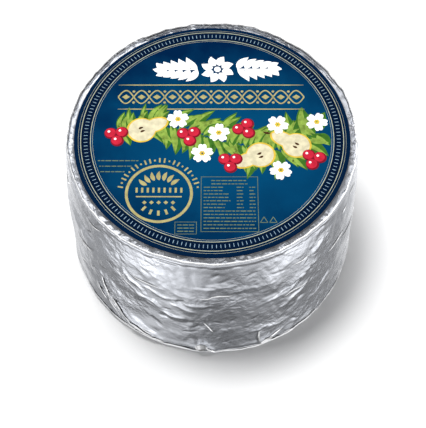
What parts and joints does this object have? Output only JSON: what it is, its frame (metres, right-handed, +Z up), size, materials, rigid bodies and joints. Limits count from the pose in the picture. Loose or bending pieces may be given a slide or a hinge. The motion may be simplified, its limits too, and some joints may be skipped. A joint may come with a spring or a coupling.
{
  "type": "foil-wrapped blue cheese wheel",
  "caption": "Whole round wheel of blue cheese in aluminium foil pinched into a ridge round its top, with a round printed label lying on it; stands on its flat base.",
  "frame": {"origin": "centre of the base, on the surface that the wheel stands on", "axes": "+Z up along the wheel's axis; -Y is the front, where the foot of the label's design lies; +X to the right of it"},
  "size_m": [0.1898, 0.1907, 0.1125],
  "materials": {
    "foil": "satin foil, wrinkled and dented",
    "label_print": "printed, satin"
  },
  "bodies": {
    "root": {"foil_wheel": "foil", "label": "label_print"}
  },
  "joints": []
}
